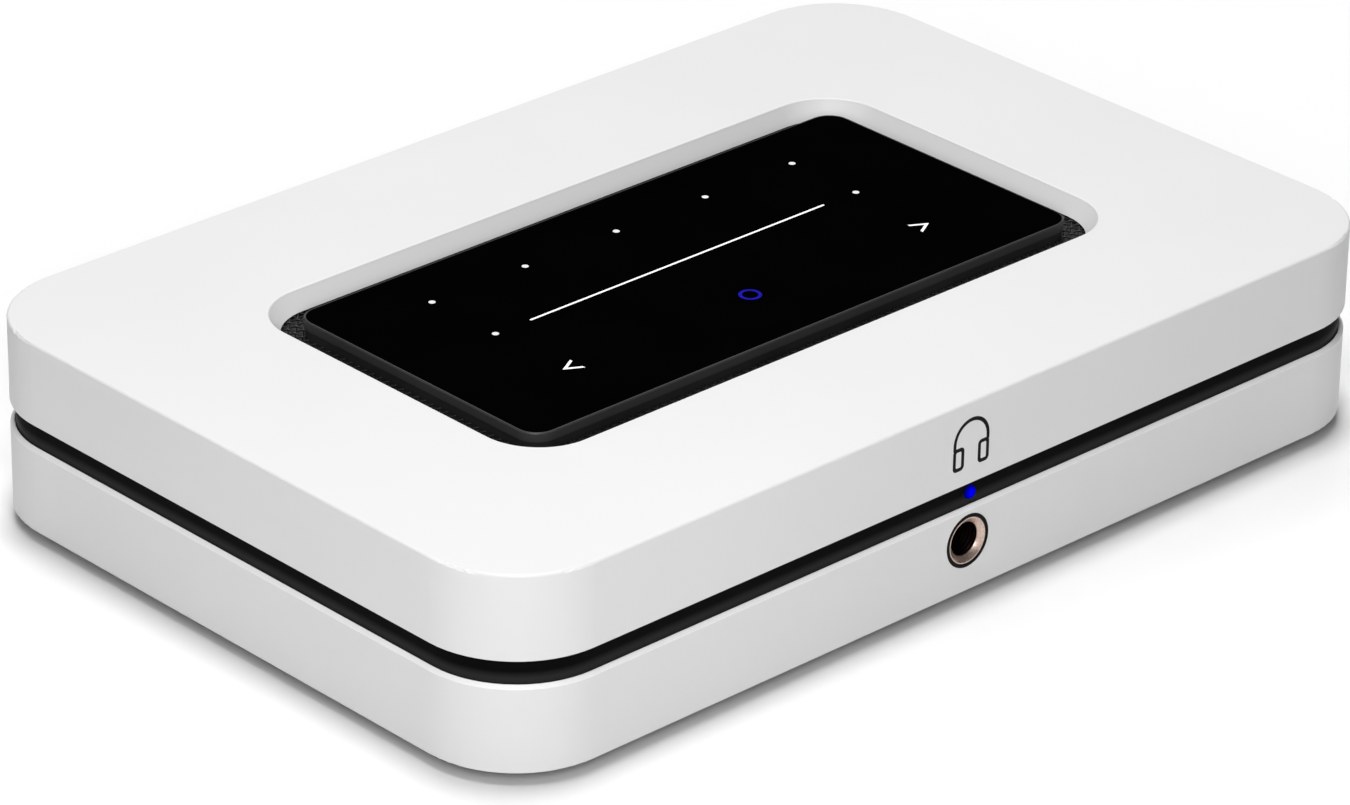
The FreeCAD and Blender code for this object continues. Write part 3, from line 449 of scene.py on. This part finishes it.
def wire_runs(offset, turn, inside, reach):
    """Stretches (first point, last point) of the diagonal wire at offset that are inside the mesh."""
    count = int(reach * WEAVE_STEPS / WEAVE_PITCH)
    runs, start = [], None
    for i in range(-count, count + 1):
        within = inside(*on_diagonal(i, offset, turn))
        if within and start is None:
            start = i
        elif not within and start is not None:
            if i - 1 > start:
                runs.append((start, i - 1))
            start = None
    return runs


def weave_mesh(materials):
    """Woven wire round the touch panel: two sets of diagonal wires that pass over and under each other."""
    low, high = [[c / MM for c in corner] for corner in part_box("vent_mesh")]
    length, width = high[0] - low[0] - 2 * WEAVE_MARGIN, high[1] - low[1] - 2 * WEAVE_MARGIN
    middle, rise = (low[2] + high[2]) / 2, (high[2] - low[2]) / 2 - WIRE_R
    reach = (length + width) / 2
    rows = int(reach / WEAVE_PITCH)

    def inside(x, y):
        in_sheet = inside_rounded(x, y, length, width, FLANGE_CORNER - WEAVE_MARGIN)
        return in_sheet and not inside_rounded(x, y, *PANEL_HOLE)

    verts, faces = [], []
    for turn in (1, -1):
        for row in range(-rows, rows + 1):
            offset = row * WEAVE_PITCH
            for start, end in wire_runs(offset, turn, inside, reach):
                faces += tube_faces(len(verts), end - start + 1, WIRE_SIDES)
                for i in range(start, end + 1):
                    x, y = on_diagonal(i, offset, turn)
                    wave = turn * (-1) ** row * math.cos(math.pi * i / WEAVE_STEPS)
                    verts += wire_ring(x, y, middle + rise * wave, turn)
    add_piece("woven_vent_mesh", verts, faces, "vent_mesh", materials["mesh_black"], 80.0)


def wire_ring(x, y, z, turn):
    """Points round a diagonal wire at x, y, z."""
    ring = []
    for side in range(WIRE_SIDES):
        angle = 2 * math.pi * side / WIRE_SIDES
        out = WIRE_R * math.cos(angle) * math.sqrt(0.5)
        ring.append((x + turn * out, y + out, z + WIRE_R * math.sin(angle)))
    return ring


def tube_faces(first, rings, sides):
    """Faces of a closed tube of rings of points, each ring having the given number of sides."""
    faces = []
    for ring in range(rings - 1):
        here = first + ring * sides
        there = here + sides
        for side in range(sides):
            after = (side + 1) % sides
            faces.append((here + side, here + after, there + after, there + side))
    last = first + (rings - 1) * sides
    faces.append(tuple(first + side for side in reversed(range(sides))))
    faces.append(tuple(last + side for side in range(sides)))
    return faces


def turned(profile, x, y, z):
    """Points and faces of a closed profile of (radius, depth) turned about a line along Y through x, z."""
    verts, faces = [], []
    count = len(profile)
    for step in range(LATHE_STEPS):
        angle = 2 * math.pi * step / LATHE_STEPS
        verts += [(x + r * math.cos(angle), y + deep, z + r * math.sin(angle)) for r, deep in profile]
        here, there = step * count, (step + 1) % LATHE_STEPS * count
        for i in range(count):
            after = (i + 1) % count
            faces.append((here + i, there + i, there + after, here + after))
    return verts, faces


def turn_bushing(materials):
    """Plated bushing of the headphone socket: narrow lip, shallow funnel and fine thread in its bore."""
    low, high = [[c / MM for c in corner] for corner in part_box("headphone_bushing")]
    radius, length = (high[0] - low[0]) / 2, high[1] - low[1]
    lip = radius - BUSHING_LIP
    tail_step, tail_long = BUSHING_TAIL
    bevel = BUSHING_CHAMFER
    profile = [(radius, bevel), (radius - bevel, 0.0), (lip + bevel / 2, 0.0), (lip, bevel / 2)]
    profile += [(BUSHING_BORE + 0.12, FUNNEL_DEEP - 0.06), (BUSHING_BORE, FUNNEL_DEEP + 0.12)]
    deep = FUNNEL_DEEP + THREAD_MARGIN
    while deep + THREAD_PITCH < length - THREAD_MARGIN:
        profile.append((BUSHING_BORE, deep))
        profile.append((BUSHING_BORE + THREAD_DEEP, deep + THREAD_PITCH * 0.3))
        profile.append((BUSHING_BORE, deep + THREAD_PITCH * 0.6))
        deep += THREAD_PITCH
    profile += [(BUSHING_BORE, length), (radius - tail_step, length)]
    profile += [(radius - tail_step, length - tail_long), (radius, length - tail_long)]
    verts, faces = turned(profile, (low[0] + high[0]) / 2, low[1], (low[2] + high[2]) / 2)
    finish = materials["bushing"]
    add_piece("turned_headphone_bushing", verts, faces, "headphone_bushing", finish, 30.0)


# ---------------------------------------------------------------- stage
def make_floor():
    mesh = bpy.data.meshes.new("floor")
    corners = [(x * FLOOR_REACH, y * FLOOR_REACH, 0.0) for x, y in ((-1, -1), (1, -1), (1, 1), (-1, 1))]
    mesh.from_pydata(corners, [], [(0, 1, 2, 3)])
    floor = bpy.data.objects.new("floor", mesh)
    bpy.context.scene.collection.objects.link(floor)
    shader = Shader("floor_paper")
    drift = shader.noise(120.0, 2.0)
    shader.paint(shader.tint(drift, grey(FLOOR_WHITE - 0.01), grey(FLOOR_WHITE)))
    shader.set(Roughness=0.9, Specular_IOR_Level=0.0)
    floor.data.materials.append(shader.material)


def make_lights():
    for name, (place, aim, size, watts) in SOFTBOXES.items():
        light = bpy.data.lights.new(name, "AREA")
        light.shape = "DISK"
        light.size = size
        light.energy = watts
        lamp = bpy.data.objects.new(name, light)
        lamp.location = place
        lamp.rotation_euler = (Vector(aim) - Vector(place)).to_track_quat("-Z", "Y").to_euler()
        bpy.context.scene.collection.objects.link(lamp)
    world = bpy.data.worlds.new("dark_studio")
    world.use_nodes = True
    world.node_tree.nodes["Background"].inputs["Color"].default_value = (0.0, 0.0, 0.0, 1.0)
    bpy.context.scene.world = world


def make_camera():
    data = bpy.data.cameras.new("camera")
    data.sensor_width = SENSOR_WIDE
    data.lens = CAMERA_LENS
    data.clip_end = CAMERA_REACH
    camera = bpy.data.objects.new("camera", data)
    camera.location = CAMERA_PLACE
    camera.rotation_euler = Euler([math.radians(angle) for angle in CAMERA_TURN])
    bpy.context.scene.collection.objects.link(camera)
    bpy.context.scene.camera = camera
    bpy.context.scene.view_settings.view_transform = "Standard"


# ---------------------------------------------------------------- build
materials = dress_nodes()
weave_mesh(materials)
turn_bushing(materials)
make_floor()
make_lights()
make_camera()
